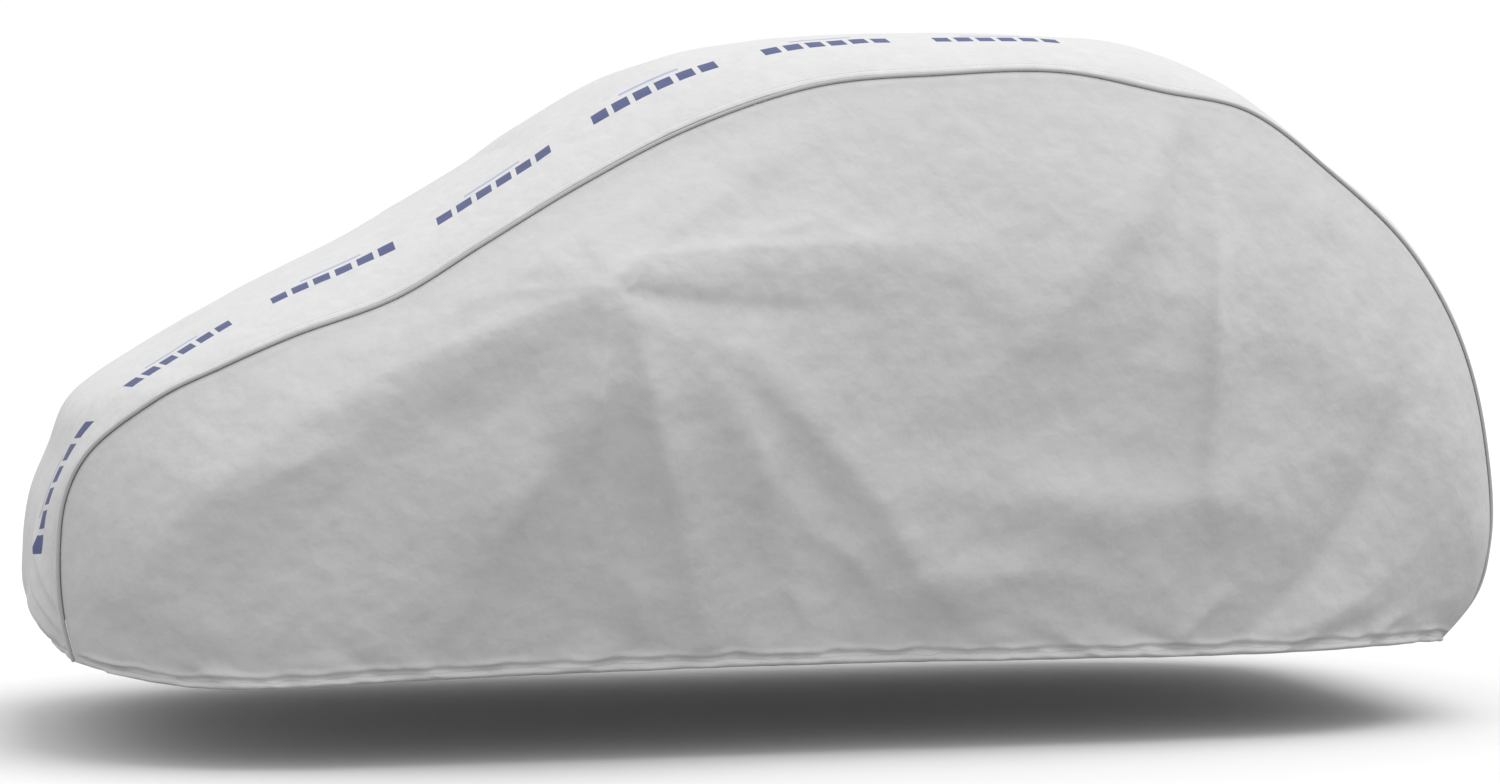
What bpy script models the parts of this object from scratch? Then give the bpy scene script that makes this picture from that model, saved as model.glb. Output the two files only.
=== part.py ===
"""Fitted cloth cover in the shape in which it hangs when it is drawn on.

Three cut pieces: one long centre panel that runs from the front hem up over
the low front slope, the steep front slope, the top and the tail to the rear
hem, and a side panel on each side, joined to it by a narrow piping that
follows the whole seam.  The hem of
each piece is part of its cloth.

Units are metres, +Z up, nose towards -X, the cover's left side towards -Y.
The tables give heights above the ground and distances from the middle of the
length.  The whole cover then hangs from an empty, so that the world origin is
the point on the underside of the top cloth where the cover rests.
"""

from collections import namedtuple

import bmesh
import bpy
import numpy as np

# ---------------------------------------------------------------- main sizes
THICKNESS = 0.002          # the cloth with its soft fleece back
PIPING_RADIUS = 0.0035     # round piping sewn into both long seams
SEAM_GAP = 0.0010          # clear space between the piping and a cloth edge
COLUMNS = 44               # facets along the seam
ROWS = 15                  # facets from the seam down to the hem
CROSS_HALF = 6             # facets across half of the centre panel
CROWN_POWER = 4.0          # flat middle and round shoulders on the top strip
SHOULDER_AT = 0.40         # how far down a side its widest place lies
LOW_POWER = 1.45           # how the side falls away from its shoulder to the hem
PEAK_X = -0.487            # each side stands out to a peak here
PEAK_Z = 0.966
PEAK_OUT = 0.150           # how far the peak stands out
PEAK_ABOVE = 0.19          # how far the tent round it reaches upwards,
PEAK_BELOW = 0.37          # downwards
PEAK_BESIDE = 0.30         # and to each side
REST_X = 0.56              # highest place, where the cover rests

# ---------------------------------------------------------------- sections
# One row for each section across the cover, from the front hem to the rear
# hem.  centre_* is the middle of the top strip, seam_* the piping, hem_* the
# lower edge of the side panel, bulge how far the side stands out from the
# straight line between seam and hem.
Section = namedtuple(
    "Section",
    "name centre_x centre_z seam_x seam_y seam_z hem_x hem_y hem_z bulge",
)
SECTIONS = [
    Section("front hem", -1.560, 0.195, -1.521, 0.420, 0.197, -1.521, 0.420, 0.197, 0.000),
    Section("front tuck", -1.598, 0.300, -1.546, 0.435, 0.312, -1.470, 0.515, 0.190, 0.018),
    Section("front low", -1.602, 0.399, -1.551, 0.450, 0.422, -1.405, 0.585, 0.178, 0.040),
    Section("front face", -1.588, 0.497, -1.539, 0.465, 0.532, -1.320, 0.645, 0.168, 0.062),
    Section("front edge", -1.551, 0.600, -1.495, 0.500, 0.627, -1.225, 0.700, 0.165, 0.080),
    Section("front lip", -1.500, 0.722, -1.365, 0.565, 0.736, -1.100, 0.735, 0.168, 0.092),
    Section("low slope front", -1.322, 0.846, -1.234, 0.600, 0.803, -0.990, 0.750, 0.174, 0.100),
    Section("low slope", -1.107, 0.967, -1.094, 0.620, 0.865, -0.880, 0.755, 0.178, 0.105),
    Section("steep slope foot", -0.886, 1.078, -0.888, 0.635, 0.941, -0.740, 0.758, 0.182, 0.110),
    Section("steep slope low", -0.685, 1.197, -0.705, 0.632, 1.052, -0.580, 0.760, 0.186, 0.118),
    Section("side peaks", -0.497, 1.325, -0.510, 0.622, 1.169, -0.420, 0.760, 0.188, 0.125),
    Section("steep slope top", -0.290, 1.441, -0.275, 0.605, 1.289, -0.240, 0.760, 0.190, 0.130),
    Section("top front", -0.040, 1.499, -0.008, 0.588, 1.379, -0.040, 0.760, 0.190, 0.135),
    Section("top", 0.261, 1.518, 0.270, 0.578, 1.409, 0.180, 0.760, 0.189, 0.138),
    Section("top highest", 0.558, 1.519, 0.553, 0.572, 1.418, 0.420, 0.760, 0.187, 0.138),
    Section("top rear", 0.802, 1.500, 0.777, 0.567, 1.379, 0.620, 0.760, 0.186, 0.135),
    Section("tail top", 0.990, 1.421, 0.971, 0.560, 1.341, 0.800, 0.755, 0.184, 0.128),
    Section("tail high", 1.189, 1.271, 1.167, 0.548, 1.211, 0.975, 0.740, 0.184, 0.118),
    Section("tail", 1.405, 1.104, 1.366, 0.535, 1.037, 1.125, 0.715, 0.186, 0.104),
    Section("tail waist", 1.550, 0.899, 1.490, 0.525, 0.840, 1.245, 0.675, 0.186, 0.088),
    Section("tail low", 1.616, 0.661, 1.555, 0.515, 0.618, 1.340, 0.620, 0.184, 0.066),
    Section("tail face", 1.626, 0.430, 1.572, 0.505, 0.394, 1.410, 0.560, 0.180, 0.040),
    Section("tail tuck", 1.572, 0.278, 1.539, 0.495, 0.266, 1.450, 0.505, 0.174, 0.015),
    Section("rear hem", 1.515, 0.170, 1.461, 0.480, 0.171, 1.461, 0.480, 0.171, 0.000),
]

# ---------------------------------------------------------------- main folds
# Soft ridges (out > 0) and troughs (out < 0) of the side panels, each along
# a bent line from start over middle to end.  width is the half width.
Fold = namedtuple("Fold", "name x0 z0 x1 z1 x2 z2 width out")
FOLDS = [
    Fold("belt ridge", -0.51, 0.96, -0.80, 0.84, -1.11, 0.68, 0.065, 0.024),
    Fold("belt ridge front", -1.08, 0.70, -1.26, 0.56, -1.41, 0.38, 0.065, 0.014),
    Fold("belt hollow", -0.58, 0.80, -0.83, 0.67, -1.22, 0.44, 0.070, -0.013),
    Fold("pillar edge", -0.47, 0.99, -0.28, 1.13, -0.02, 1.30, 0.050, 0.018),
    Fold("sill ridge", -0.43, 1.02, -0.13, 1.04, 0.34, 1.04, 0.065, 0.018),
    Fold("sill valley", -0.43, 0.95, -0.18, 0.92, 0.29, 0.89, 0.045, -0.010),
    Fold("door ridge", -0.39, 0.92, -0.07, 0.68, 0.18, 0.38, 0.060, 0.020),
    Fold("dark ridge", -0.33, 0.86, -0.19, 0.63, -0.11, 0.42, 0.050, 0.018),
    Fold("steep ridge", -0.44, 0.89, -0.39, 0.66, -0.28, 0.27, 0.045, 0.022),
    Fold("front ray", -0.51, 0.90, -0.55, 0.70, -0.74, 0.42, 0.050, 0.020),
    Fold("rear swell", 0.77, 1.35, 0.62, 1.09, 0.26, 0.76, 0.070, 0.026),
    Fold("pillar valley", 0.81, 1.34, 0.78, 1.21, 0.74, 1.00, 0.045, -0.016),
    Fold("pillar ridge", 0.85, 1.15, 0.81, 0.85, 0.79, 0.54, 0.050, 0.026),
    Fold("low swag", 0.10, 0.57, 0.45, 0.52, 0.78, 0.51, 0.060, 0.018),
    Fold("haunch", 0.70, 0.51, 0.87, 0.51, 1.08, 0.54, 0.090, 0.018),
    Fold("rear corner valley", 1.28, 0.86, 1.17, 0.52, 0.92, 0.26, 0.055, -0.024),
    Fold("rear corner ridge", 1.30, 0.40, 1.14, 0.29, 0.96, 0.23, 0.045, 0.008),
]


def column(table, key):
    return np.array([getattr(row, key) for row in table], float)


def station_run():
    """Running length along the sections, the mean of seam, hem and centre."""
    total = np.zeros(len(SECTIONS))
    for keys in (
        ("centre_x", "centre_z"),
        ("seam_x", "seam_y", "seam_z"),
        ("hem_x", "hem_y", "hem_z"),
    ):
        line = np.stack([column(SECTIONS, k) for k in keys], axis=1)
        step = np.linalg.norm(np.diff(line, axis=0), axis=1)
        total[1:] += np.cumsum(step)
    return total / total[-1]


RUN = station_run()


def through(values, at):
    """Smooth curve through one column of the section table."""
    h = np.diff(RUN)
    slope = np.diff(values) / h
    tangent = np.empty_like(values)
    tangent[1:-1] = (h[1:] * slope[:-1] + h[:-1] * slope[1:]) / (h[:-1] + h[1:])
    tangent[0] = 1.5 * slope[0] - 0.5 * tangent[1]
    tangent[-1] = 1.5 * slope[-1] - 0.5 * tangent[-2]
    at = np.clip(np.asarray(at, float), 0.0, 1.0)
    i = np.clip(np.searchsorted(RUN, at, side="right") - 1, 0, len(h) - 1)
    t = (at - RUN[i]) / h[i]
    t2, t3 = t * t, t * t * t
    return (
        (2 * t3 - 3 * t2 + 1) * values[i]
        + (t3 - 2 * t2 + t) * h[i] * tangent[i]
        + (3 * t2 - 2 * t3) * values[i + 1]
        + (t3 - t2) * h[i] * tangent[i + 1]
    )


def line_3d(prefix, at):
    """Centre, seam or hem line of the left half; left is -Y."""
    x = through(column(SECTIONS, prefix + "_x"), at)
    z = through(column(SECTIONS, prefix + "_z"), at)
    if prefix == "centre":
        y = np.zeros_like(x)
    else:
        y = -through(column(SECTIONS, prefix + "_y"), at)
    return np.stack([x, y, z], axis=-1)


def tangent_3d(prefix, at, step=0.002):
    a = line_3d(prefix, np.clip(at - step, 0, 1))
    b = line_3d(prefix, np.clip(at + step, 0, 1))
    d = b - a
    return d / np.linalg.norm(d, axis=-1, keepdims=True)


def peak_push(x, z):
    """The tent of cloth round a side peak: short above, long below."""
    dx, dz = x - PEAK_X, z - PEAK_Z
    low = np.clip((0.06 - dz) / 0.12, 0, 1)
    low = low * low * (3 - 2 * low)
    tall = PEAK_ABOVE + (PEAK_BELOW - PEAK_ABOVE) * low
    q2 = (dx / PEAK_BESIDE) ** 2 + (dz / tall) ** 2
    tent = np.exp(-(np.sqrt(q2 + 0.35 ** 2) - 0.35)) * np.exp(-((q2 / 4.0) ** 2))
    tip = np.exp(-(np.sqrt(dx * dx + dz * dz + 0.016 ** 2) - 0.016) / 0.045)
    return PEAK_OUT * (0.90 * tent + 0.10 * tip)


def fold_push(x, z):
    """How far the folds and the peak bring the cloth out at (x, z)."""
    out = np.zeros_like(x)
    for f in FOLDS:
        best = np.full_like(x, 1e9)
        along = np.zeros_like(x)
        corners = ((f.x0, f.z0), (f.x1, f.z1), (f.x2, f.z2))
        for k in range(2):
            (ax, az), (bx, bz) = corners[k], corners[k + 1]
            ux, uz = bx - ax, bz - az
            length2 = ux * ux + uz * uz
            t = np.clip(((x - ax) * ux + (z - az) * uz) / length2, 0, 1)
            away = (x - ax - t * ux) ** 2 + (z - az - t * uz) ** 2
            nearer = away < best
            best = np.where(nearer, away, best)
            along = np.where(nearer, (k + t) / 2, along)
        fade = np.sin(np.pi * np.clip(0.16 + 0.70 * along, 0, 1))
        out += f.out * fade * np.exp(-best / (f.width * f.width))
    return out + peak_push(x, z)


def side_points(at, down):
    """Left side panel: at runs from front to rear, down from seam to hem."""
    at = np.asarray(at, float)
    down = np.asarray(down, float)
    seam = line_3d("seam", at)
    hem = line_3d("hem", at)
    middle = np.array([0.0, -0.78, 0.70])
    tangent = tangent_3d("seam", at)
    inward = middle - seam
    inward -= np.sum(inward * tangent, axis=-1, keepdims=True) * tangent
    inward /= np.linalg.norm(inward, axis=-1, keepdims=True)
    top = seam + inward * (PIPING_RADIUS + SEAM_GAP)
    point = top + (hem - top) * down[..., None]
    up_part = 1 - ((down - SHOULDER_AT) / SHOULDER_AT) ** 2
    low_part = 1 - np.clip((down - SHOULDER_AT) / (1 - SHOULDER_AT), 0, 1) ** LOW_POWER
    bulge = through(column(SECTIONS, "bulge"), at)
    point[..., 1] -= bulge * np.where(down < SHOULDER_AT, up_part, low_part)
    # folds die out at the sewn edge and near both ends
    calm = np.clip(down / 0.14, 0, 1) ** 1.5
    calm = calm * np.clip(at / 0.10, 0, 1) * np.clip((1 - at) / 0.10, 0, 1)
    point[..., 1] -= fold_push(point[..., 0], point[..., 2]) * calm
    return point


def centre_points(at, across):
    """Left half of the top strip: across runs from the seam to the middle."""
    at = np.asarray(at, float)
    across = np.asarray(across, float)
    seam = line_3d("seam", at)
    centre = line_3d("centre", at)
    edge = (PIPING_RADIUS + SEAM_GAP + 0.0004) / np.abs(seam[..., 1])
    across = edge + (1 - edge) * across
    rise = 1 - (1 - across) ** CROWN_POWER
    point = seam + (centre - seam) * rise[..., None]
    point[..., 1] = seam[..., 1] * (1 - across)
    return point


# ---------------------------------------------------------------- building
def clear_scene():
    for thing in list(bpy.data.objects):
        bpy.data.objects.remove(thing, do_unlink=True)


def cloth_material(name, colour, roughness):
    material = bpy.data.materials.new(name)
    material.use_nodes = True
    shader = material.node_tree.nodes["Principled BSDF"]
    shader.inputs["Base Color"].default_value = (*colour, 1.0)
    shader.inputs["Roughness"].default_value = roughness
    shader.inputs["Metallic"].default_value = 0.0
    return material


def add_object(name, data, material, parent, collection):
    thing = bpy.data.objects.new(name, data)
    thing.data.materials.append(material)
    thing.parent = parent
    collection.objects.link(thing)
    return thing


def thicken(thing):
    solid = thing.modifiers.new("cloth thickness", "SOLIDIFY")
    solid.thickness = THICKNESS
    solid.offset = -1.0
    solid.use_even_offset = False
    return solid


def loft_mesh(name, rows, pointed_ends, flip):
    """Skin a grid of points; pointed ends close to a single corner."""
    mesh = bmesh.new()
    grid = []
    last = len(rows) - 1
    for i, row in enumerate(rows):
        if pointed_ends and i in (0, last):
            grid.append([mesh.verts.new(row[0])] * len(row))
        else:
            grid.append([mesh.verts.new(p) for p in row])
    for a, b in zip(grid[:-1], grid[1:]):
        for j in range(len(a) - 1):
            ring = []
            for v in (a[j], a[j + 1], b[j + 1], b[j]):
                if v not in ring:
                    ring.append(v)
            if flip:
                ring.reverse()
            mesh.faces.new(ring)
    data = bpy.data.meshes.new(name)
    mesh.to_mesh(data)
    mesh.free()
    data.shade_smooth()
    return data


def side_mesh(name, side):
    """side is +1 for the left panel, -1 for the right one."""
    at = np.linspace(0, 1, COLUMNS + 1)
    down = np.linspace(0, 1, ROWS + 1)
    a, d = np.meshgrid(at, down, indexing="ij")
    grid = side_points(a, d)
    corner = PIPING_RADIUS + SEAM_GAP + 0.001
    for end in (0, -1):
        along = grid[1, -1] - grid[0, -1] if end == 0 else grid[-2, -1] - grid[-1, -1]
        along = along / np.linalg.norm(along)
        grid[end, :] = line_3d("hem", at[end]) + along * corner
    grid[..., 1] *= side
    return loft_mesh(name, grid, True, side < 0)


def centre_mesh(name):
    at = np.linspace(0, 1, COLUMNS + 1)
    across = np.linspace(0, 1, CROSS_HALF + 1)
    a, c = np.meshgrid(at, across, indexing="ij")
    grid = centre_points(a, c)
    grid[:, -1, 1] = 0.0
    return loft_mesh(name, grid, False, True)


def piping_curve(name, side):
    at = np.linspace(0, 1, COLUMNS + 1)
    line = line_3d("seam", at)
    line[:, 1] *= side
    curve = bpy.data.curves.new(name, "CURVE")
    curve.dimensions = "3D"
    curve.bevel_depth = PIPING_RADIUS
    curve.bevel_resolution = 2
    curve.use_fill_caps = True
    spline = curve.splines.new("POLY")
    spline.points.add(len(line) - 1)
    for point, place in zip(spline.points, line):
        point.co = (*place, 1.0)
    return curve


def main():
    clear_scene()
    collection = bpy.data.collections.new("car cover")
    bpy.context.scene.collection.children.link(collection)

    grey = cloth_material("grey nonwoven", (0.46, 0.46, 0.47), 0.85)
    white = cloth_material("off-white nonwoven", (0.78, 0.78, 0.79), 0.85)
    trim = cloth_material("grey piping", (0.24, 0.24, 0.25), 0.80)

    # the point on the underside of the top cloth that becomes the origin
    top = centre_points(np.array([RUN[14]]), np.array([1.0]))[0]
    hang = bpy.data.objects.new("rest point", None)
    hang.location = (-REST_X, 0.0, -(top[2] - THICKNESS))
    collection.objects.link(hang)

    left = add_object("side_panel_left", side_mesh("side_panel_left", 1), grey, hang, collection)
    thicken(left)
    right = add_object("side_panel_right", side_mesh("side_panel_right", -1), grey.copy(), hang, collection)
    thicken(right)

    centre = add_object("centre_panel", centre_mesh("centre_panel"), white, hang, collection)
    mirror = centre.modifiers.new("both halves", "MIRROR")
    mirror.use_axis = (False, True, False)
    mirror.merge_threshold = 0.0001
    thicken(centre)

    add_object("piping_left", piping_curve("piping_left", 1), trim, hang, collection)
    add_object("piping_right", piping_curve("piping_right", -1), trim.copy(), hang, collection)
    bpy.context.view_layer.update()


main()
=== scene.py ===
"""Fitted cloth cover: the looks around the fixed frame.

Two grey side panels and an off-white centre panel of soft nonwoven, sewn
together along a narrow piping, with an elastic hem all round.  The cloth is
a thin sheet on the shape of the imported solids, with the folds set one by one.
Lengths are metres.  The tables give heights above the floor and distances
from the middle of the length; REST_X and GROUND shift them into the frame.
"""

import math
from collections import namedtuple

import bpy
import numpy as np
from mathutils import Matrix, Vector


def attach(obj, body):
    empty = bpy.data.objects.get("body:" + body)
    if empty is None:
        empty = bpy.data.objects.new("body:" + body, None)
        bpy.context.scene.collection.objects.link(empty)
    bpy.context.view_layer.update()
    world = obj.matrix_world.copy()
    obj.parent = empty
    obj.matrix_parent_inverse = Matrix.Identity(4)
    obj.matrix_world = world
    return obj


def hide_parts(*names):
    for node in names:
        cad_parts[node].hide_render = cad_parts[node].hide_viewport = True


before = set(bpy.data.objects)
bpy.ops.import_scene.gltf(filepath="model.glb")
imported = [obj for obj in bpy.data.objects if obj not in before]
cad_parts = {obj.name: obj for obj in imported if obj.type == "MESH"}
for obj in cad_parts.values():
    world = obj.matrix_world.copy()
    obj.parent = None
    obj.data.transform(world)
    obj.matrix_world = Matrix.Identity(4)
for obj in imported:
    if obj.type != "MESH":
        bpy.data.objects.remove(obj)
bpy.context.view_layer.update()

# ---------------------------------------------------------------- frame
REST_X = 0.56              # the origin is under the top cloth here
GROUND = -1.517            # height of the floor in the part's frame
PIPING_RADIUS = 0.0035
SEAM_GAP = 0.0010
CLOTH = 0.0018             # thickness of the laminate
CROWN_POWER = 4.0
SHOULDER_AT = 0.40
LOW_POWER = 1.45           # how the side falls away from its shoulder to the hem
PEAK_X = -0.487
PEAK_Z = 0.966
PEAK_OUT = 0.150
PEAK_ABOVE = 0.19          # how far the tent of cloth round it reaches
PEAK_BELOW = 0.37
PEAK_BESIDE = 0.30

# Sections of the cover from the front hem to the rear hem, in metres from
# the middle of the length and above the ground.
Section = namedtuple(
    "Section",
    "name centre_x centre_z seam_x seam_y seam_z hem_x hem_y hem_z bulge",
)
SECTIONS = [
    Section("front hem", -1.560, 0.195, -1.521, 0.420, 0.197, -1.521, 0.420, 0.197, 0.000),
    Section("front tuck", -1.598, 0.300, -1.546, 0.435, 0.312, -1.470, 0.515, 0.190, 0.018),
    Section("front low", -1.602, 0.399, -1.551, 0.450, 0.422, -1.405, 0.585, 0.178, 0.040),
    Section("front face", -1.588, 0.497, -1.539, 0.465, 0.532, -1.320, 0.645, 0.168, 0.062),
    Section("front edge", -1.551, 0.600, -1.495, 0.500, 0.627, -1.225, 0.700, 0.165, 0.080),
    Section("front lip", -1.500, 0.722, -1.365, 0.565, 0.736, -1.100, 0.735, 0.168, 0.092),
    Section("low slope front", -1.322, 0.846, -1.234, 0.600, 0.803, -0.990, 0.750, 0.174, 0.100),
    Section("low slope", -1.107, 0.967, -1.094, 0.620, 0.865, -0.880, 0.755, 0.178, 0.105),
    Section("steep slope foot", -0.886, 1.078, -0.888, 0.635, 0.941, -0.740, 0.758, 0.182, 0.110),
    Section("steep slope low", -0.685, 1.197, -0.705, 0.632, 1.052, -0.580, 0.760, 0.186, 0.118),
    Section("side peaks", -0.497, 1.325, -0.510, 0.622, 1.169, -0.420, 0.760, 0.188, 0.125),
    Section("steep slope top", -0.290, 1.441, -0.275, 0.605, 1.289, -0.240, 0.760, 0.190, 0.130),
    Section("top front", -0.040, 1.499, -0.008, 0.588, 1.379, -0.040, 0.760, 0.190, 0.135),
    Section("top", 0.261, 1.518, 0.270, 0.578, 1.409, 0.180, 0.760, 0.189, 0.138),
    Section("top highest", 0.558, 1.519, 0.553, 0.572, 1.418, 0.420, 0.760, 0.187, 0.138),
    Section("top rear", 0.802, 1.500, 0.777, 0.567, 1.379, 0.620, 0.760, 0.186, 0.135),
    Section("tail top", 0.990, 1.421, 0.971, 0.560, 1.341, 0.800, 0.755, 0.184, 0.128),
    Section("tail high", 1.189, 1.271, 1.167, 0.548, 1.211, 0.975, 0.740, 0.184, 0.118),
    Section("tail", 1.405, 1.104, 1.366, 0.535, 1.037, 1.125, 0.715, 0.186, 0.104),
    Section("tail waist", 1.550, 0.899, 1.490, 0.525, 0.840, 1.245, 0.675, 0.186, 0.088),
    Section("tail low", 1.616, 0.661, 1.555, 0.515, 0.618, 1.340, 0.620, 0.184, 0.066),
    Section("tail face", 1.626, 0.430, 1.572, 0.505, 0.394, 1.410, 0.560, 0.180, 0.040),
    Section("tail tuck", 1.572, 0.278, 1.539, 0.495, 0.266, 1.450, 0.505, 0.174, 0.015),
    Section("rear hem", 1.515, 0.170, 1.461, 0.480, 0.171, 1.461, 0.480, 0.171, 0.000),
]

# Soft folds of the side panels.  Each runs along a bent line through three
# points (x, z); wide0 and wide2 are its half widths at the two ends, out0 to
# out2 how far it stands proud (or sinks in) at the three points, lean how much
# wider its left flank is than its right one, crest how round its top is.
Fold = namedtuple("Fold", "name x0 z0 x1 z1 x2 z2 wide0 wide2 out0 out1 out2 lean crest")
FOLDS = [
    Fold("belt ridge", -0.509, 0.957, -0.799, 0.843, -1.110, 0.685, 0.024, 0.074, 0.0096, 0.0336, 0.0336, 0.35, 0.60),
    Fold("belt ridge front", -1.050, 0.716, -1.257, 0.566, -1.414, 0.361, 0.070, 0.054, 0.0026, 0.0234, 0.0104, 0.15, 0.65),
    Fold("belt hollow", -0.538, 0.840, -0.826, 0.670, -1.228, 0.426, 0.040, 0.074, -0.0068, -0.0203, -0.0121, 0.00, 0.80),
    Fold("fender streak", -0.953, 0.682, -1.104, 0.611, -1.243, 0.535, 0.024, 0.030, 0.0000, 0.0100, 0.0010, 0.20, 0.50),
    Fold("corner tuck", -1.537, 0.385, -1.436, 0.281, -1.258, 0.220, 0.030, 0.030, -0.0013, -0.0117, -0.0026, 0.00, 0.60),
    Fold("nose line", -0.510, 0.967, -0.682, 0.954, -0.861, 0.930, 0.010, 0.026, 0.0030, 0.0070, 0.0000, 0.20, 0.40),
    Fold("upper crease", -0.521, 0.985, -0.577, 1.035, -0.687, 1.058, 0.010, 0.026, -0.0020, -0.0060, 0.0000, 0.00, 0.70),
    Fold("pillar crease", -0.513, 0.992, -0.541, 1.045, -0.571, 1.105, 0.010, 0.020, -0.0010, -0.0060, 0.0000, 0.00, 0.50),
    Fold("pillar edge", -0.471, 0.992, -0.283, 1.129, -0.013, 1.303, 0.020, 0.060, 0.0050, 0.0190, 0.0090, 0.30, 0.70),
    Fold("sill ridge", -0.435, 1.019, -0.128, 1.040, 0.349, 1.044, 0.020, 0.062, 0.0100, 0.0225, 0.0066, -0.45, 0.60),
    Fold("sill valley", -0.435, 0.956, -0.184, 0.919, 0.295, 0.895, 0.014, 0.046, -0.0070, -0.0120, -0.0027, -0.20, 0.60),
    Fold("tip tuck", -0.469, 0.965, -0.420, 0.935, -0.225, 0.900, 0.010, 0.024, -0.0060, -0.0055, -0.0013, 0.00, 0.60),
    Fold("window streak", -0.257, 1.039, -0.104, 1.085, 0.097, 1.124, 0.014, 0.022, 0.0000, 0.0080, 0.0010, 0.10, 0.50),
    Fold("door ridge", -0.391, 0.922, -0.069, 0.684, 0.188, 0.360, 0.026, 0.068, 0.0000, 0.0232, 0.0377, 0.30, 0.70),
    Fold("dark ridge", -0.337, 0.857, -0.190, 0.630, -0.106, 0.404, 0.036, 0.046, 0.0026, 0.0312, 0.0078, -0.15, 0.80),
    Fold("door lobe", -0.164, 0.578, -0.076, 0.488, -0.062, 0.406, 0.020, 0.028, 0.0000, 0.0112, 0.0014, 0.10, 0.60),
    Fold("steep ridge", -0.439, 0.889, -0.392, 0.659, -0.272, 0.244, 0.026, 0.046, 0.0060, 0.0350, 0.0170, 0.20, 0.75),
    Fold("front ray", -0.509, 0.913, -0.527, 0.739, -0.571, 0.542, 0.020, 0.040, 0.0100, 0.0325, 0.0025, -0.30, 0.50),
    Fold("front ray low", -0.597, 0.681, -0.681, 0.538, -0.780, 0.350, 0.044, 0.060, 0.0026, 0.0312, 0.0130, -0.30, 0.80),
    Fold("low ray", -0.510, 0.501, -0.431, 0.335, -0.399, 0.232, 0.030, 0.040, 0.0000, 0.0130, 0.0052, 0.00, 0.60),
    Fold("hook one", -0.126, 0.383, -0.083, 0.311, -0.054, 0.241, 0.018, 0.024, 0.0000, 0.0104, 0.0052, 0.20, 0.60),
    Fold("hook two", -0.097, 0.470, 0.019, 0.414, 0.092, 0.286, 0.024, 0.028, 0.0000, 0.0140, 0.0014, 0.20, 0.60),
    Fold("rear swell", 0.782, 1.374, 0.624, 1.090, 0.242, 0.739, 0.062, 0.070, 0.0160, 0.0320, 0.0100, -0.10, 0.70),
    Fold("window swell", 0.412, 1.333, 0.426, 1.182, 0.315, 1.026, 0.030, 0.040, 0.0010, 0.0090, 0.0010, 0.00, 0.60),
    Fold("pillar valley", 0.815, 1.369, 0.784, 1.207, 0.742, 0.995, 0.028, 0.032, -0.0080, -0.0260, -0.0050, 0.00, 0.50),
    Fold("pillar ridge", 0.857, 1.186, 0.810, 0.849, 0.792, 0.525, 0.032, 0.036, 0.0046, 0.0437, 0.0161, 0.35, 0.40),
    Fold("haunch", 0.647, 0.517, 0.871, 0.509, 1.121, 0.552, 0.096, 0.090, 0.0037, 0.0300, 0.0037, 0.00, 0.90),
    Fold("low swag", 0.079, 0.572, 0.448, 0.515, 0.794, 0.505, 0.060, 0.056, 0.0027, 0.0297, 0.0121, 0.00, 0.75),
    Fold("sill shelf", 0.131, 0.347, 0.386, 0.372, 0.675, 0.328, 0.036, 0.036, 0.0026, 0.0169, 0.0026, 0.00, 0.80),
    Fold("rear corner valley", 1.309, 0.932, 1.188, 0.536, 0.891, 0.224, 0.054, 0.038, -0.0065, -0.0390, -0.0130, 0.00, 0.50),
    Fold("rear corner ridge", 1.363, 0.443, 1.150, 0.283, 0.911, 0.213, 0.034, 0.020, 0.0028, 0.0126, 0.0056, 0.00, 0.50),
    Fold("lower ridge", 0.864, 0.351, 0.810, 0.288, 0.740, 0.220, 0.020, 0.024, 0.0013, 0.0156, 0.0078, -0.10, 0.50),
    Fold("streak ridge", 1.122, 1.241, 1.128, 1.148, 1.126, 1.014, 0.014, 0.020, 0.0000, 0.0090, 0.0000, 0.00, 0.50),
]


def column(table, key):
    return np.array([getattr(row, key) for row in table], float)


def station_run():
    total = np.zeros(len(SECTIONS))
    for keys in (
        ("centre_x", "centre_z"),
        ("seam_x", "seam_y", "seam_z"),
        ("hem_x", "hem_y", "hem_z"),
    ):
        line = np.stack([column(SECTIONS, k) for k in keys], axis=1)
        step = np.linalg.norm(np.diff(line, axis=0), axis=1)
        total[1:] += np.cumsum(step)
    return total / total[-1]


RUN = station_run()


def through(values, at):
    """Smooth curve through one column of the section table."""
    h = np.diff(RUN)
    slope = np.diff(values) / h
    tangent = np.empty_like(values)
    tangent[1:-1] = (h[1:] * slope[:-1] + h[:-1] * slope[1:]) / (h[:-1] + h[1:])
    tangent[0] = 1.5 * slope[0] - 0.5 * tangent[1]
    tangent[-1] = 1.5 * slope[-1] - 0.5 * tangent[-2]
    at = np.clip(np.asarray(at, float), 0.0, 1.0)
    i = np.clip(np.searchsorted(RUN, at, side="right") - 1, 0, len(h) - 1)
    t = (at - RUN[i]) / h[i]
    t2, t3 = t * t, t * t * t
    return (
        (2 * t3 - 3 * t2 + 1) * values[i]
        + (t3 - 2 * t2 + t) * h[i] * tangent[i]
        + (3 * t2 - 2 * t3) * values[i + 1]
        + (t3 - t2) * h[i] * tangent[i + 1]
    )


def line_3d(prefix, at):
    """Centre, seam or hem line of the left half; left is -Y."""
    x = through(column(SECTIONS, prefix + "_x"), at)
    z = through(column(SECTIONS, prefix + "_z"), at)
    if prefix == "centre":
        y = np.zeros_like(x)
    else:
        y = -through(column(SECTIONS, prefix + "_y"), at)
    return np.stack([x, y, z], axis=-1)


def tangent_3d(prefix, at, step=0.002):
    a = line_3d(prefix, np.clip(at - step, 0, 1))
    b = line_3d(prefix, np.clip(at + step, 0, 1))
    d = b - a
    return d / np.linalg.norm(d, axis=-1, keepdims=True)


def ease(t):
    t = np.clip(t, 0.0, 1.0)
    return t * t * (3 - 2 * t)


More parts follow.
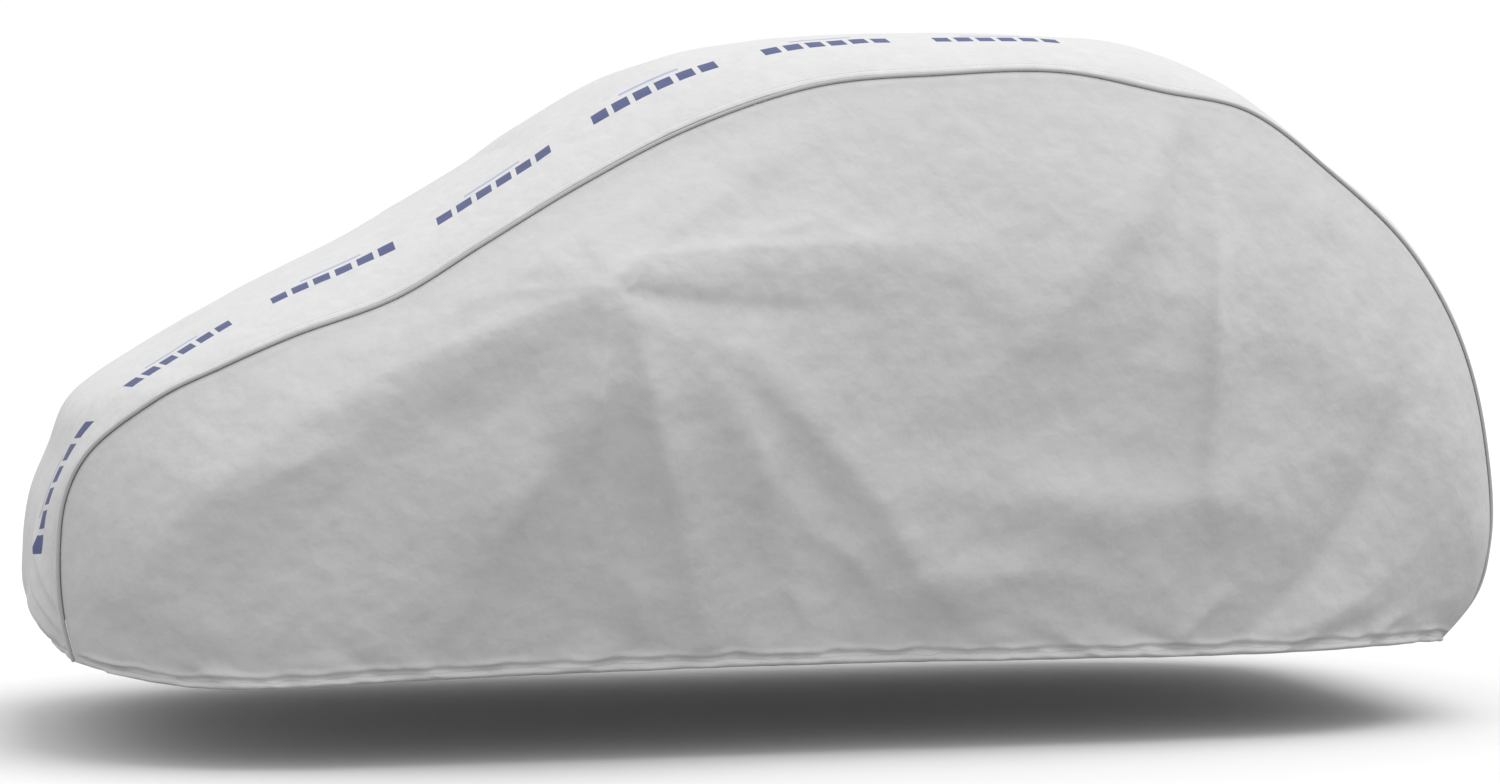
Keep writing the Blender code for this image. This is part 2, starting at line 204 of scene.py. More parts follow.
def spread(count, *dense):
    """Parameter values from 0 to 1, closer together around some places."""
    fine = np.linspace(0, 1, 2001)
    density = np.ones_like(fine)
    for centre, half, extra in dense:
        density += extra * np.exp(-(((fine - centre) / half) ** 2))
    total = np.concatenate([[0], np.cumsum((density[1:] + density[:-1]) / 2)])
    return np.interp(np.linspace(0, total[-1], count + 1), total, fine)


def fold_push(x, z, folds, pieces=16):
    """How far the folds push the cloth out at each (x, z)."""
    flat_x, flat_z = x.ravel(), z.ravel()
    out = np.zeros_like(flat_x)
    t = np.linspace(0, 1, pieces + 1)
    for f in folds:
        # a parabola through the three points
        mx, mz = 2 * f.x1 - (f.x0 + f.x2) / 2, 2 * f.z1 - (f.z0 + f.z2) / 2
        px = (1 - t) ** 2 * f.x0 + 2 * t * (1 - t) * mx + t * t * f.x2
        pz = (1 - t) ** 2 * f.z0 + 2 * t * (1 - t) * mz + t * t * f.z2
        reach = 4.2 * max(f.wide0, f.wide2) * (1 + abs(f.lean))
        near = np.nonzero(
            (flat_x > px.min() - reach) & (flat_x < px.max() + reach)
            & (flat_z > pz.min() - reach) & (flat_z < pz.max() + reach)
        )[0]
        if not len(near):
            continue
        qx, qz = flat_x[near], flat_z[near]
        best = np.full(len(near), 1e9)
        along = np.zeros(len(near))
        side = np.zeros(len(near))
        for k in range(pieces):
            ux, uz = px[k + 1] - px[k], pz[k + 1] - pz[k]
            length2 = ux * ux + uz * uz
            s = np.clip(((qx - px[k]) * ux + (qz - pz[k]) * uz) / length2, 0, 1)
            dx, dz = qx - px[k] - s * ux, qz - pz[k] - s * uz
            away = dx * dx + dz * dz
            nearer = away < best
            best = np.where(nearer, away, best)
            along = np.where(nearer, (k + s) / pieces, along)
            side = np.where(nearer, (ux * dz - uz * dx) / math.sqrt(length2), side)
        away = np.sqrt(best)
        wide = f.wide0 + (f.wide2 - f.wide0) * along
        # side is +-away beside the fold and passes through 0 round its ends
        wide = wide * (1 + f.lean * np.tanh(side / (0.35 * wide)))
        q = away / wide
        section = np.exp(-(np.sqrt(q * q + f.crest ** 2) - f.crest)) * np.exp(-((q / 3.0) ** 4))
        rise = np.where(
            along < 0.5,
            f.out0 + (f.out1 - f.out0) * ease(along / 0.5),
            f.out2 + (f.out1 - f.out2) * ease((1 - along) / 0.5),
        )
        out[near] += rise * section
    return out.reshape(x.shape)


def peak_push(x, z):
    """The tent of cloth round a side peak: short above, long below."""
    dx, dz = x - PEAK_X, z - PEAK_Z
    low = ease((0.06 - dz) / 0.12)
    tall = PEAK_ABOVE + (PEAK_BELOW - PEAK_ABOVE) * low
    q2 = (dx / PEAK_BESIDE) ** 2 + (dz / tall) ** 2
    tent = np.exp(-(np.sqrt(q2 + 0.35 ** 2) - 0.35)) * np.exp(-(q2 / 4.0) ** 2)
    tip = np.exp(-(np.sqrt(dx * dx + dz * dz + 0.016 ** 2) - 0.016) / 0.045)
    return PEAK_OUT * (0.90 * tent + 0.10 * tip)


def side_points(at, down):
    """Left side panel: at runs from front to rear, down from seam to hem."""
    at = np.asarray(at, float)
    down = np.asarray(down, float)
    seam = line_3d("seam", at)
    hem = line_3d("hem", at)
    middle = np.array([0.0, -0.78, 0.70])
    tangent = tangent_3d("seam", at)
    inward = middle - seam
    inward -= np.sum(inward * tangent, axis=-1, keepdims=True) * tangent
    inward /= np.linalg.norm(inward, axis=-1, keepdims=True)
    top = seam + inward * (PIPING_RADIUS + SEAM_GAP)
    point = top + (hem - top) * down[..., None]
    up_part = 1 - ((down - SHOULDER_AT) / SHOULDER_AT) ** 2
    low_part = 1 - np.clip((down - SHOULDER_AT) / (1 - SHOULDER_AT), 0, 1) ** LOW_POWER
    bulge = through(column(SECTIONS, "bulge"), at)
    point[..., 1] -= bulge * np.where(down < SHOULDER_AT, up_part, low_part)
    return point


def centre_points(at, across):
    """Left half of the top strip: across runs from the seam to the middle."""
    at = np.asarray(at, float)
    across = np.asarray(across, float)
    seam = line_3d("seam", at)
    centre = line_3d("centre", at)
    edge = (PIPING_RADIUS + SEAM_GAP + 0.0004) / np.abs(seam[..., 1])
    across = edge + (1 - edge) * across
    rise = 1 - (1 - across) ** CROWN_POWER
    point = seam + (centre - seam) * rise[..., None]
    point[..., 1] = seam[..., 1] * (1 - across)
    return point


# ---------------------------------------------------------------- fine cloth
def lattice_noise(x, z, size, seed):
    """Smooth noise from -1 to 1 with bumps about size metres across."""
    rng = np.random.default_rng(seed)
    table = rng.uniform(-1, 1, (64, 64))
    gx, gz = x / size + 1000.0, z / size + 1000.0
    ix, iz = np.floor(gx).astype(int), np.floor(gz).astype(int)
    fx, fz = ease(gx - ix), ease(gz - iz)
    a, b = table[ix % 64, iz % 64], table[(ix + 1) % 64, iz % 64]
    c, d = table[ix % 64, (iz + 1) % 64], table[(ix + 1) % 64, (iz + 1) % 64]
    return (a * (1 - fx) + b * fx) * (1 - fz) + (c * (1 - fx) + d * fx) * fz


def turned_noise(x, z, size, seed):
    """Two lattices at an angle, so that no grid shows."""
    c, s = math.cos(0.6), math.sin(0.6)
    return 0.6 * lattice_noise(x, z, size, seed) + 0.6 * lattice_noise(
        c * x - s * z, s * x + c * z, size * 0.83, seed + 1
    )


def grid_normals(point, outward):
    u = np.gradient(point, axis=0)
    v = np.gradient(point, axis=1)
    n = np.cross(u, v)
    size = np.linalg.norm(n, axis=-1, keepdims=True)
    n = n / np.maximum(size, 1e-12)
    sign = np.sign(np.sum(n * outward, axis=-1, keepdims=True))
    return n * np.where(sign == 0, 1, sign)


def run_length(line):
    step = np.linalg.norm(np.diff(line, axis=0), axis=-1)
    return np.concatenate([np.zeros((1,) + step.shape[1:]), np.cumsum(step, axis=0)])


HEM_WIDE = 0.027           # hem casing, from the edge to its stitch line


def hem_relief(up, run):
    """Section of the hem: a bead over the elastic, a sewn groove, a small lip."""
    # the casing is drawn in unevenly, so its groove wanders a little
    up = up * (1 + 0.16 * turned_noise(run, 0 * run, 0.055, 61) * ease(up / 0.010))
    full = 1 + 0.30 * turned_noise(run, 0 * run, 0.030, 62)
    tight = 1 + 0.55 * turned_noise(run, 0 * run, 0.046, 63)
    loose = 1 + 0.80 * turned_noise(run, 0 * run, 0.060, 64)
    bead = 0.0084 * full * np.exp(-(((up - 0.0075) / 0.0085) ** 2))
    groove = -0.0042 * tight * np.exp(-(((up - 0.0215) / 0.0045) ** 2))
    lip = 0.0034 * loose * np.exp(-(((up - 0.0300) / 0.0060) ** 2))
    edge = -0.0022 * np.exp(-((up / 0.0035) ** 2))
    return bead + groove + lip + edge


def hem_puckers(run, up, seed, spacing=0.045, strength=1.0):
    """Uneven gathers that the elastic draws into the cloth above the hem."""
    rng = np.random.default_rng(seed)
    out = np.zeros_like(run)
    near = up < 0.30
    r, u = run[near], up[near]
    total = np.zeros_like(r)
    place, last = 0.02, float(run.max())
    while place < last:
        wide = rng.uniform(0.009, 0.024)
        tall = rng.choice([0.026, 0.042, 0.070, 0.130], p=[0.3, 0.3, 0.25, 0.15])
        rise = rng.uniform(-1, 1) * 0.0070 * strength * (0.5 + wide / 0.02)
        slant = rng.choice([-1, 1]) * rng.uniform(0.3, 2.4)
        away = (r - place - slant * u) / (wide * (1 + 4.0 * u / 0.1))
        total += rise * np.exp(-away * away) * np.exp(-((u / tall) ** 1.3))
        place += spacing * rng.uniform(0.45, 1.7)
    # the bead over the elastic itself stays even
    out[near] = total * (0.15 + 0.85 * ease(u / 0.018))
    return out


def visual_side(at, down, seed=0):
    """Outer face of the left side panel with all its relief."""
    point = side_points(at, down)
    ends = ease(at / 0.06) * ease((1 - at) / 0.06)
    calm = ease(down / 0.10) * ends
    x, z = point[..., 0].copy(), point[..., 2].copy()
    push = fold_push(x, z, FOLDS) + peak_push(x, z)
    # the handled unevenness of the cloth
    push += 0.0034 * turned_noise(x, z, 0.21, 11 + seed)
    push += 0.0040 * turned_noise(x, z, 0.085, 21 + seed)
    push += 0.0017 * turned_noise(x, z, 0.034, 31 + seed)
    push += 0.00030 * turned_noise(x, z, 0.016, 41 + seed)
    point[..., 1] -= push * calm
    rib = np.linalg.norm(np.diff(point, axis=1), axis=-1)
    up = np.concatenate([np.cumsum(rib[:, ::-1], axis=1)[:, ::-1], np.zeros((len(rib), 1))], axis=1)
    run = run_length(point[:, -1])[:, None] + 0 * up
    outward = np.array([0.0, -1.0, 0.0])
    normal = grid_normals(point, outward)
    seam_side = np.concatenate([np.zeros((len(rib), 1)), np.cumsum(rib, axis=1)], axis=1)
    relief = (hem_relief(up, run) + hem_puckers(run, up, 71 + seed, 0.036, 1.25)) * ease(seam_side / 0.05)
    # the edge turns in towards the piping
    relief -= 0.0003 * np.exp(-((seam_side / 0.006) ** 2))
    relief += 0.0010 * np.exp(-(((seam_side - 0.016) / 0.008) ** 2)) * ends
    relief *= ease(at / 0.030) * ease((1 - at) / 0.030)
    point = point + normal * relief[..., None]
    return point


# Soft folds of the centre panel: run0 and run1 along it (0 front hem, 1 rear
# hem), across0 and across1 from -1 (left seam) to 1 (right seam).
CentreFold = namedtuple("CentreFold", "name run0 across0 run1 across1 wide0 wide1 out")
CENTRE_FOLDS = [
    CentreFold("nose wrinkle left", 0.0150, -0.965, 0.0520, -0.56, 0.011, 0.018, 0.0150),
    CentreFold("nose wrinkle left two", 0.0250, -0.985, 0.0690, -0.50, 0.010, 0.018, 0.0130),
    CentreFold("nose wrinkle left three", 0.0080, -0.900, 0.0350, -0.42, 0.012, 0.018, 0.0110),
    CentreFold("nose crease left", 0.0200, -0.965, 0.0600, -0.54, 0.009, 0.014, -0.0100),
    CentreFold("nose crease left two", 0.0115, -0.940, 0.0430, -0.48, 0.009, 0.014, -0.0080),
    CentreFold("nose fold middle", 0.010, -0.18, 0.085, -0.26, 0.016, 0.030, 0.0050),
    CentreFold("nose fold right", 0.010, 0.34, 0.110, 0.46, 0.014, 0.030, 0.0045),
    CentreFold("nose crease right", 0.020, 0.76, 0.140, 0.70, 0.010, 0.020, -0.0040),
    CentreFold("nose sag", 0.170, -0.45, 0.165, 0.50, 0.050, 0.050, -0.0060),
    CentreFold("low draw left", 0.230, -0.90, 0.330, -0.35, 0.020, 0.045, 0.0040),
    CentreFold("low draw right", 0.220, 0.92, 0.320, 0.30, 0.020, 0.045, 0.0045),
    CentreFold("slope foot shelf", 0.338, -0.78, 0.334, 0.80, 0.040, 0.040, -0.0075),
    CentreFold("steep draw left", 0.345, -0.88, 0.455, -0.20, 0.024, 0.060, 0.0050),
    CentreFold("steep draw right", 0.350, 0.86, 0.470, 0.16, 0.024, 0.060, 0.0045),
    CentreFold("top draw", 0.500, -0.70, 0.640, 0.10, 0.030, 0.050, 0.0022),
    CentreFold("top draw back", 0.560, 0.80, 0.700, -0.10, 0.030, 0.050, 0.0022),
    CentreFold("tail draw left", 0.720, -0.86, 0.800, -0.15, 0.022, 0.050, 0.0042),
    CentreFold("tail draw right", 0.715, 0.88, 0.810, 0.22, 0.022, 0.050, 0.0040),
    CentreFold("tail hollow", 0.880, -0.60, 0.885, 0.60, 0.060, 0.060, -0.0060),
    CentreFold("tail wrinkle left", 0.985, -0.55, 0.905, -0.40, 0.016, 0.030, 0.0050),
    CentreFold("tail wrinkle middle", 0.988, 0.12, 0.920, 0.05, 0.014, 0.024, 0.0040),
    CentreFold("tail wrinkle right", 0.985, 0.66, 0.900, 0.52, 0.016, 0.030, 0.0050),
]


def visual_centre(at, across):
    """Outer face of the centre panel; across runs from -1 left to 1 right."""
    half = centre_points(at, 1 - np.abs(across))
    point = half.copy()
    point[..., 1] *= -np.sign(across) + (across == 0)
    run = run_length(line_3d("centre", at[:, 0]))[:, None] + 0 * at
    width = np.linalg.norm(np.diff(point, axis=1), axis=-1)
    left = np.concatenate([np.zeros((len(width), 1)), np.cumsum(width, axis=1)], axis=1)
    total = left[:, -1:]
    right = total - left
    y = left - total / 2
    length = run[-1, 0]
    folds = []
    for f in CENTRE_FOLDS:
        halves = [np.interp(r * length, run[:, 0], total[:, 0] / 2)
                  for r in (f.run0, (f.run0 + f.run1) / 2, f.run1)]
        folds.append(
            Fold(f.name, f.run0 * length, f.across0 * halves[0],
                 (f.run0 + f.run1) / 2 * length, (f.across0 + f.across1) / 2 * halves[1] + 0.010,
                 f.run1 * length, f.across1 * halves[2], f.wide0, f.wide1,
                 0.3 * f.out, f.out, 0.0, 0.15, 0.6)
        )
    edge = np.minimum(left, right)
    calm = ease(edge / 0.030)
    push = fold_push(run, y, folds)
    push += 0.0016 * turned_noise(run, y, 0.24, 211)
    push += 0.0009 * turned_noise(run, y, 0.090, 221)
    push += 0.00036 * turned_noise(run, y, 0.036, 231)
    push += 0.00012 * turned_noise(run, y, 0.014, 241)
    push *= 0.15 + 0.85 * calm
    # rolled edge along both seams, with the small waves of the sewing
    wave = 1 + 0.25 * lattice_noise(run, 0 * run, 0.035, 251)
    push += 0.0024 * wave * np.exp(-(((edge - 0.0085) / 0.0060) ** 2))
    push -= 0.0012 * np.exp(-(((edge - 0.0200) / 0.0055) ** 2))
    push -= 0.0003 * np.exp(-((edge / 0.0030) ** 2))
    centre = np.array([0.0, 0.0, 0.62])
    normal = grid_normals(point, point - centre)
    # the elastic draws the ends in under the nose and the tail
    inner = 0.2 + 0.8 * ease(edge / 0.09)
    for up, fill, pull in ((run, 0.006, 0.018), (length - run, 0.0, 0.012)):
        push += fill * np.exp(-(((up - 0.115) / 0.065) ** 2)) * inner
        push -= pull * ease(1 - up / 0.062) * inner
    fade = ease(edge / 0.03)
    for up, seed in ((run, 81), (length - run, 91)):
        push += (0.55 * hem_relief(up, y) + hem_puckers(y + 1.0, up, seed, 0.06, 0.30)) * fade
    return point + normal * push[..., None], run, left, right


# ---------------------------------------------------------------- meshes
def to_frame(point):
    return point + np.array([-REST_X, 0.0, GROUND])


def sheet_mesh(name, outer, thickness, outward, point_ends, flip):
    """Closed thin sheet: fine outer face, inner face at half the fineness."""
    n, m = outer.shape[0] - 1, outer.shape[1] - 1
    normal = grid_normals(outer, outward)
    if point_ends:
        normal[0], normal[-1] = normal[1, m // 2], normal[-2, m // 2]
    inner = outer - normal * thickness
    outer_id = np.arange((n + 1) * (m + 1)).reshape(n + 1, m + 1)
    if point_ends:
        outer_id[0, :], outer_id[n, :] = outer_id[0, 0], outer_id[n, 0]
    offset = (n + 1) * (m + 1)
    inner_id = outer_id + offset
    places = np.concatenate([outer.reshape(-1, 3), inner.reshape(-1, 3)])

    faces = []

    def add(*ring):
        seen = []
        for v in ring:
            v = int(v)
            if v not in seen:
                seen.append(v)
        if len(seen) > 2:
            faces.append(seen[::-1] if flip else seen)

    o, q = outer_id, inner_id
    for i in range(n):
        for j in range(m):
            add(o[i, j], o[i, j + 1], o[i + 1, j + 1], o[i + 1, j])
    for i in range(2, n - 2, 2):
        for j in range(2, m - 2, 2):
            add(q[i, j], q[i + 2, j], q[i + 2, j + 2], q[i, j + 2])
    for i in range(2, n - 2, 2):
        add(q[i, 0], q[i + 1, 0], q[i + 2, 0], q[i + 2, 2], q[i, 2])
        add(q[i, m - 2], q[i + 2, m - 2], q[i + 2, m], q[i + 1, m], q[i, m])
    for j in range(2, m - 2, 2):
        add(q[0, j], q[2, j], q[2, j + 2], q[0, j + 2], q[0, j + 1])
        add(q[n - 2, j], q[n, j], q[n, j + 1], q[n, j + 2], q[n - 2, j + 2])
    add(q[0, 0], q[1, 0], q[2, 0], q[2, 2], q[0, 2], q[0, 1])
    add(q[0, m - 2], q[2, m - 2], q[2, m], q[1, m], q[0, m], q[0, m - 1])
    add(q[n - 2, 0], q[n - 1, 0], q[n, 0], q[n, 1], q[n, 2], q[n - 2, 2])
    add(q[n - 2, m - 2], q[n, m - 2], q[n, m - 1], q[n, m], q[n - 1, m], q[n - 2, m])
    for i in range(n):
        add(o[i, 0], o[i + 1, 0], q[i + 1, 0], q[i, 0])
        add(o[i + 1, m], o[i, m], q[i, m], q[i + 1, m])
    if not point_ends:
        for j in range(m):
            add(o[0, j + 1], o[0, j], q[0, j], q[0, j + 1])
            add(o[n, j], o[n, j + 1], q[n, j + 1], q[n, j])

    used = np.zeros(len(places), bool)
    for ring in faces:
        used[ring] = True
    renumber = np.cumsum(used) - 1
    data = bpy.data.meshes.new(name)
    data.from_pydata(
        to_frame(places[used]).tolist(), [], [[int(renumber[v]) for v in ring] for ring in faces]
    )
    data.validate()
    data.shade_smooth()
    return data, used


def add_piece(name, data, material, replaces=()):
    piece = bpy.data.objects.new(name, data)
    bpy.context.scene.collection.objects.link(piece)
    if material is not None:
        piece.data.materials.append(material)
    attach(piece, "root")
    if replaces:
        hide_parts(*replaces)
    return piece


def set_uv(data, values, used):
    """A metric map in the cloth: values are (run, across) of each vertex."""
    layer = data.uv_layers.new(name="cut")
    kept = values[used]
    index = np.empty(len(data.loops), int)
    data.loops.foreach_get("vertex_index", index)
    layer.data.foreach_set("uv", kept[index].astype(np.float32).ravel())


# ---------------------------------------------------------------- stitches
def stitch_row(line, normal, pitch=0.0060, length=0.0042, radius=0.0006):
    """Corners and faces of a row of stitches, short threads that dip at both ends."""
    run = run_length(line)
    count = int(run[-1] / pitch)
    sides = 4
    places, faces = [], []
    t = (np.arange(count) + 0.5) * pitch
    stations = (-0.5, -0.3, 0.0, 0.3, 0.5)
    lift = (-0.0005, 0.0003, 0.0005, 0.0003, -0.0005)
    for k in range(count):
        ring = []
        for s, up in zip(stations, lift):
            at = t[k] + s * length
            p = np.array([np.interp(at, run, line[:, a]) for a in range(3)])
            n = np.array([np.interp(at, run, normal[:, a]) for a in range(3)])
            n /= np.linalg.norm(n)
            ahead = np.array([np.interp(at + 0.001, run, line[:, a]) for a in range(3)]) - p
            side = np.cross(n, ahead)
            side /= np.linalg.norm(side) + 1e-12
            thick = radius * (0.7 if abs(s) > 0.4 else 1.0)
            ring.append([p + n * (up + thick * math.cos(q)) + side * thick * math.sin(q)
                         for q in (math.pi * 2 * w / sides for w in range(sides))])
        base = len(places)
        for r in ring:
            places += [tuple(v) for v in r]
        for a in range(len(ring) - 1):
            for w in range(sides):
                v0, v1 = base + a * sides + w, base + a * sides + (w + 1) % sides
                faces.append((v0, v1, v1 + sides, v0 + sides))
        faces.append(tuple(base + w for w in reversed(range(sides))))
        last = base + (len(ring) - 1) * sides
        faces.append(tuple(last + w for w in range(sides)))
    return places, faces


def build_stitches(name, rows, material):
    """All stitches of one panel as one joined mesh."""
    places, faces = [], []
    for line, normal in rows:
        base = len(places)
        more, ring = stitch_row(line, normal)
        places += more
        faces += [tuple(base + v for v in face) for face in ring]
    data = bpy.data.meshes.new(name)
    data.from_pydata(to_frame(np.array(places)).tolist(), [], faces)
    data.shade_smooth()
    return add_piece(name, data, material)


def stitch_line(outer, normal, from_edge, axis, end):
    """Points on the cloth a set way in from one of its edges."""
    grid = outer if axis == 1 else outer.transpose(1, 0, 2)
    norm = normal if axis == 1 else normal.transpose(1, 0, 2)
    if end:
        grid, norm = grid[:, ::-1], norm[:, ::-1]
    step = np.linalg.norm(np.diff(grid, axis=1), axis=-1)
    away = np.concatenate([np.zeros((len(grid), 1)), np.cumsum(step, axis=1)], axis=1)
    line, normals = [], []
    for i in range(len(grid)):
        if away[i, -1] < 3 * from_edge:
            continue
        line.append([np.interp(from_edge, away[i], grid[i, :, a]) for a in range(3)])
        normals.append([np.interp(from_edge, away[i], norm[i, :, a]) for a in range(3)])
    return np.array(line), np.array(normals)


# ---------------------------------------------------------------- materials
class Nodes:
    """Small helper that adds shader nodes and joins them."""

    def __init__(self, tree):
        self.tree = tree

    def add(self, kind, **values):
        node = self.tree.nodes.new(kind)
        for key, value in values.items():
            if hasattr(node, key) and key not in node.inputs:
                setattr(node, key, value)
            else:
                node.inputs[key].default_value = value
        return node

    def join(self, a, b):
        self.tree.links.new(a, b)

    def math(self, operation, a, b=None, c=None, clamp=False):
        node = self.tree.nodes.new("ShaderNodeMath")
        node.operation = operation
        node.use_clamp = clamp
        for slot, value in zip(node.inputs, (a, b, c)):
            if value is None:
                continue
            if isinstance(value, (int, float)):
                slot.default_value = value
            else:
                self.tree.links.new(value, slot)
        return node.outputs[0]

    def noise(self, vector, scale, detail=2.0, rough=0.5, distortion=0.0):
        node = self.tree.nodes.new("ShaderNodeTexNoise")
        node.noise_dimensions = "3D"
        node.inputs["Scale"].default_value = scale
        node.inputs["Detail"].default_value = detail
        node.inputs["Roughness"].default_value = rough
        node.inputs["Distortion"].default_value = distortion
        self.tree.links.new(vector, node.inputs["Vector"])
        return node.outputs["Fac"]

    def stretched(self, vector, scale, turn):
        node = self.tree.nodes.new("ShaderNodeMapping")
        node.inputs["Scale"].default_value = scale
        node.inputs["Rotation"].default_value = turn
        self.tree.links.new(vector, node.inputs["Vector"])
        return node.outputs["Vector"]

    def mix(self, factor, a, b):
        node = self.tree.nodes.new("ShaderNodeMix")
        node.data_type = "RGBA"
        self.tree.links.new(factor, node.inputs["Factor"])
        for name, value in (("A", a), ("B", b)):
            slot = [s for s in node.inputs if s.name == name and s.type == "RGBA"][0]
            if isinstance(value, tuple):
                slot.default_value = (*value, 1.0)
            else:
                self.tree.links.new(value, slot)
        return [s for s in node.outputs if s.type == "RGBA"][0]


def nonwoven(name, light, dark, mottle=1.0, print_mark=False):
    """Soft laminated nonwoven: cloudy mottle, felted fibres, fine embossing."""
    material = bpy.data.materials.new(name)
    material.use_nodes = True
    tree = material.node_tree
    n = Nodes(tree)
    shader = tree.nodes["Principled BSDF"]
    shader.inputs["Roughness"].default_value = 0.88
    shader.inputs["Specular IOR Level"].default_value = 0.22
    shader.inputs["Sheen Weight"].default_value = 0.12
    shader.inputs["Sheen Roughness"].default_value = 0.6
    where = tree.nodes.new("ShaderNodeTexCoord").outputs["Object"]
    cloud = n.noise(where, 9.0, 4.0, 0.58)
    patch = n.noise(where, 30.0, 3.0, 0.62)
    speck = n.noise(where, 260.0, 3.0, 0.65)
    fibre_a = n.noise(n.stretched(where, (220.0, 1500.0, 1500.0), (0.0, 0.5, 0.3)), 1.0, 3.0, 0.6, 0.8)
    fibre_b = n.noise(n.stretched(where, (1500.0, 1500.0, 240.0), (0.2, -0.4, 0.9)), 1.0, 3.0, 0.6, 0.8)
    fibre = n.math("MAXIMUM", fibre_a, fibre_b)
    tone = n.math("MULTIPLY_ADD", cloud, 0.80 * mottle, 0.5 - 0.40 * mottle)
    tone = n.math("ADD", tone, n.math("MULTIPLY", n.math("SUBTRACT", patch, 0.5), 1.10 * mottle))
    tone = n.math("ADD", tone, n.math("MULTIPLY", n.math("SUBTRACT", speck, 0.5), 0.30 * mottle))
    tone = n.math("ADD", tone, n.math("MULTIPLY", n.math("SUBTRACT", fibre, 0.6), 0.30 * mottle), clamp=True)
    colour = n.mix(tone, dark, light)
    if print_mark:
        colour = mark_colour(n, colour)
    n.join(colour, shader.inputs["Base Color"])
    # relief: crumple, fibres and the fine embossed dots
    crumple = n.noise(where, 24.0, 2.5, 0.50)
    dots = tree.nodes.new("ShaderNodeTexVoronoi")
    dots.inputs["Scale"].default_value = 420.0
    n.join(where, dots.inputs["Vector"])
    bump_a = tree.nodes.new("ShaderNodeBump")
    bump_a.inputs["Strength"].default_value = 0.55
    bump_a.inputs["Distance"].default_value = 0.0075
    n.join(crumple, bump_a.inputs["Height"])
    bump_b = tree.nodes.new("ShaderNodeBump")
    bump_b.inputs["Strength"].default_value = 0.35
    bump_b.inputs["Distance"].default_value = 0.00030
    n.join(n.math("ADD", fibre, n.math("MULTIPLY", dots.outputs["Distance"], 0.5)), bump_b.inputs["Height"])
    n.join(bump_a.outputs["Normal"], bump_b.inputs["Normal"])
    n.join(bump_b.outputs["Normal"], shader.inputs["Normal"])
    return material


MARK_EVERY = 0.392         # spacing of the plain printed marks along the strip
MARK_FIRST = 0.36          # the first one, from the front hem
MARK_LAST = 2.95           # none further back than this
MARK_FROM_SEAM = 0.180     # how far in from the seam they lie


def mark_colour(n, colour):
    """Plain dashes in navy with a thin paler line, repeated along both edges."""
    tree = n.tree
    uv = tree.nodes.new("ShaderNodeUVMap")
    uv.uv_map = "cut"
    split = tree.nodes.new("ShaderNodeSeparateXYZ")
    n.join(uv.outputs["UV"], split.inputs["Vector"])
    run, edge = split.outputs["X"], split.outputs["Y"]
    phase = n.math("SUBTRACT", n.math("FRACT", n.math("DIVIDE", n.math("ADD", run, 9.5 * MARK_EVERY - MARK_FIRST), MARK_EVERY)), 0.5)
    along = n.math("MULTIPLY", phase, MARK_EVERY)
    # nearer the seam on the nose
    inset = n.math("MINIMUM", n.math("MULTIPLY_ADD", run, 0.110, 0.080), MARK_FROM_SEAM)
    off = n.math("SUBTRACT", edge, inset)

    def band(value, centre, half, soft=0.0006):
        away = n.math("ABSOLUTE", n.math("SUBTRACT", value, centre))
        return n.math("DIVIDE", n.math("SUBTRACT", half, away), soft, clamp=True)

    dash_phase = n.math("SUBTRACT", n.math("FRACT", n.math("DIVIDE", n.math("ADD", along, 1.0), 0.050)), 0.5)
    dash = band(n.math("MULTIPLY", dash_phase, 0.050), 0.0, 0.0190)
    thick = n.math("MULTIPLY", n.math("MULTIPLY", dash, band(off, 0.0, 0.0220)), band(along, 0.0, 0.1460))
    thin = n.math("MULTIPLY", band(off, 0.0450, 0.0060), band(along, 0.0, 0.0700))
    printed = n.math("MULTIPLY", n.math("LESS_THAN", run, MARK_LAST), n.math("GREATER_THAN", run, 0.15))
    thin = n.math("MULTIPLY", n.math("MULTIPLY", thin, printed), 0.75)
    thick = n.math("MULTIPLY", n.math("MULTIPLY", thick, printed), 0.95)
    colour = n.mix(thin, colour, (0.30, 0.34, 0.52))
    return n.mix(thick, colour, (0.050, 0.066, 0.190))


def thread_material(name, tint):
    material = bpy.data.materials.new(name)
    material.use_nodes = True
    n = Nodes(material.node_tree)
    shader = material.node_tree.nodes["Principled BSDF"]
    shader.inputs["Roughness"].default_value = 0.6
    where = material.node_tree.nodes.new("ShaderNodeTexCoord").outputs["Object"]
    twist = n.noise(where, 900.0, 2.0)
    colour = n.mix(twist, tuple(0.8 * c for c in tint), tint)
    n.join(colour, shader.inputs["Base Color"])
    return material


def piping_material(name, light, dark):
    material = bpy.data.materials.new(name)
    material.use_nodes = True
    n = Nodes(material.node_tree)
    shader = material.node_tree.nodes["Principled BSDF"]
    shader.inputs["Roughness"].default_value = 0.8
    shader.inputs["Specular IOR Level"].default_value = 0.25
    where = material.node_tree.nodes.new("ShaderNodeTexCoord").outputs["Object"]
    tone = n.math("ADD", n.math("MULTIPLY", n.noise(where, 30.0, 3.0), 0.5),
                  n.math("MULTIPLY", n.noise(where, 700.0, 2.0), 0.5))
    n.join(n.mix(tone, dark, light), shader.inputs["Base Color"])
    bump = material.node_tree.nodes.new("ShaderNodeBump")
    bump.inputs["Strength"].default_value = 0.5
    bump.inputs["Distance"].default_value = 0.0004
    n.join(n.noise(where, 900.0, 2.0), bump.inputs["Height"])
    n.join(bump.outputs["Normal"], shader.inputs["Normal"])
    return material


